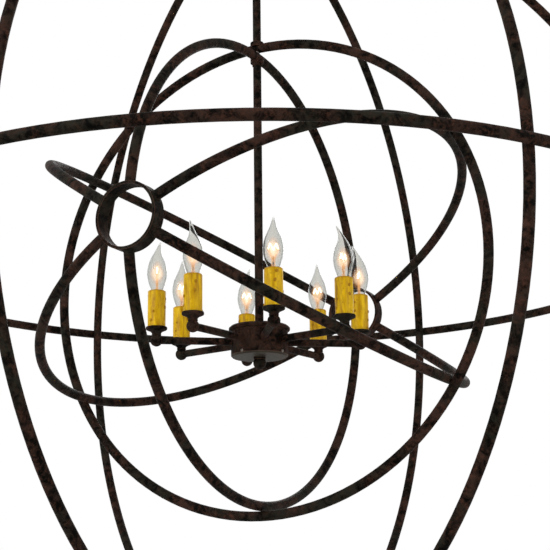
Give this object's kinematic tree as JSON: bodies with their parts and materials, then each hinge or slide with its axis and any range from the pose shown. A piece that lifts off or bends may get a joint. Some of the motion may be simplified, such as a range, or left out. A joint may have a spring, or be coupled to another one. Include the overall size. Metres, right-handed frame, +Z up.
{
  "type": "orb chandelier",
  "caption": "Hanging orb chandelier: nested cages of bent round tube turn on one stem and surround a ring of candle lights with flame bulbs.",
  "frame": {"origin": "on the ceiling, at the centre of the crossbar's two outlet box slots, on the stem's axis", "axes": "+Z up along the stem to the ceiling; +X along the crossbar; +Y from the inner cage's front hub ring to its rear one"},
  "size_m": [1.4494, 1.4496, 1.7386],
  "materials": {
    "dark_bronze": "very dark brown bronze powder coat, satin, slightly mottled",
    "cover_bronze": "the same coat, greyer and smoother where it catches the light",
    "plated_steel": "zinc plated steel, dull",
    "candle_resin": "mustard wax-coloured resin with brown specks",
    "lampholder": "dark moulded plastic",
    "bulb_glass": "clear thin glass, faintly warm"
  },
  "bodies": {
    "ceiling_bar": {"crossbar": "plated_steel", "hanger_nipple": "plated_steel", "hanger_nut": "plated_steel", "swivel_upper_fork": "dark_bronze"},
    "canopy_cover": {"canopy": "dark_bronze", "canopy_collar": "dark_bronze"},
    "swivel_joint": {"swivel_link": "plated_steel", "swivel_pins": "plated_steel"},
    "stem": {"swivel_lower_fork": "dark_bronze", "stem_upper": "dark_bronze", "stem_middle": "dark_bronze", "stem_lower": "dark_bronze", "stem_nipples": "plated_steel", "stem_nuts": "plated_steel", "pan_body": "dark_bronze", "pan_cover": "cover_bronze", "pan_screws": "dark_bronze", "finial": "dark_bronze", "arm_1": "dark_bronze", "arm_2": "dark_bronze", "arm_3": "dark_bronze", "arm_4": "dark_bronze", "arm_5": "dark_bronze", "arm_6": "dark_bronze", "arm_7": "dark_bronze", "arm_8": "dark_bronze", "arm_nuts": "plated_steel", "elbows": "dark_bronze", "drip_cups": "dark_bronze", "candle_sleeves": "candle_resin", "lamp_sockets": "lampholder"},
    "outer_orb": {"outer_hoop_1": "dark_bronze", "outer_hoop_2": "dark_bronze", "outer_hoop_3": "dark_bronze", "outer_hoop_4": "dark_bronze", "outer_hoop_5": "dark_bronze", "outer_hoop_6": "dark_bronze", "outer_equator_hoop": "dark_bronze", "outer_top_hub": "dark_bronze", "outer_bottom_hub": "dark_bronze", "outer_hub_plate": "dark_bronze"},
    "inner_orb": {"inner_hoop_1": "dark_bronze", "inner_hoop_2": "dark_bronze", "inner_hoop_3": "dark_bronze", "inner_hoop_4": "dark_bronze", "inner_hoop_5": "dark_bronze", "inner_hoop_6": "dark_bronze", "inner_cross_hoop": "dark_bronze", "inner_front_hub": "dark_bronze", "inner_rear_hub": "dark_bronze", "inner_saddles": "dark_bronze"},
    "bulb_1": {"bulb_1": "bulb_glass"},
    "bulb_2": {"bulb_2": "bulb_glass"},
    "bulb_3": {"bulb_3": "bulb_glass"},
    "bulb_4": {"bulb_4": "bulb_glass"},
    "bulb_5": {"bulb_5": "bulb_glass"},
    "bulb_6": {"bulb_6": "bulb_glass"},
    "bulb_7": {"bulb_7": "bulb_glass"},
    "bulb_8": {"bulb_8": "bulb_glass"}
  },
  "joints": [
    {"name": "canopy_drop", "type": "slide", "parent": "ceiling_bar", "child": "canopy_cover", "axis": [0, 0, -1], "range_m": [0, 0.03]},
    {"name": "swivel_tilt_x", "type": "hinge", "parent": "ceiling_bar", "child": "swivel_joint", "pos_m": [0, 0, -0.1016], "axis": [1, 0, 0], "range_deg": [-30, 30]},
    {"name": "swivel_tilt_y", "type": "hinge", "parent": "swivel_joint", "child": "stem", "pos_m": [0, 0, -0.1276], "axis": [0, 1, 0], "range_deg": [-30, 30]},
    {"name": "outer_orb_turn", "type": "hinge", "parent": "stem", "child": "outer_orb", "pos_m": [0, 0, -0.33], "axis": [0, 0, 1], "continuous": true},
    {"name": "inner_orb_turn", "type": "hinge", "parent": "stem", "child": "inner_orb", "pos_m": [0, 0, -0.64], "axis": [0, 0, 1], "continuous": true},
    {"name": "bulb_1_turn", "type": "hinge", "parent": "stem", "child": "bulb_1", "pos_m": [0.10419, -0.14184, -1.1036], "axis": [0, 0, 1], "range_deg": [0, 1080]},
    {"name": "bulb_2_turn", "type": "hinge", "parent": "stem", "child": "bulb_2", "pos_m": [0.17397, -0.02662, -1.1036], "axis": [0, 0, 1], "range_deg": [0, 1080]},
    {"name": "bulb_3_turn", "type": "hinge", "parent": "stem", "child": "bulb_3", "pos_m": [0.14184, 0.10419, -1.1036], "axis": [0, 0, 1], "range_deg": [0, 1080]},
    {"name": "bulb_4_turn", "type": "hinge", "parent": "stem", "child": "bulb_4", "pos_m": [0.02662, 0.17397, -1.1036], "axis": [0, 0, 1], "range_deg": [0, 1080]},
    {"name": "bulb_5_turn", "type": "hinge", "parent": "stem", "child": "bulb_5", "pos_m": [-0.10419, 0.14184, -1.1036], "axis": [0, 0, 1], "range_deg": [0, 1080]},
    {"name": "bulb_6_turn", "type": "hinge", "parent": "stem", "child": "bulb_6", "pos_m": [-0.17397, 0.02662, -1.1036], "axis": [0, 0, 1], "range_deg": [0, 1080]},
    {"name": "bulb_7_turn", "type": "hinge", "parent": "stem", "child": "bulb_7", "pos_m": [-0.14184, -0.10419, -1.1036], "axis": [0, 0, 1], "range_deg": [0, 1080]},
    {"name": "bulb_8_turn", "type": "hinge", "parent": "stem", "child": "bulb_8", "pos_m": [-0.02662, -0.17397, -1.1036], "axis": [0, 0, 1], "range_deg": [0, 1080]}
  ]
}
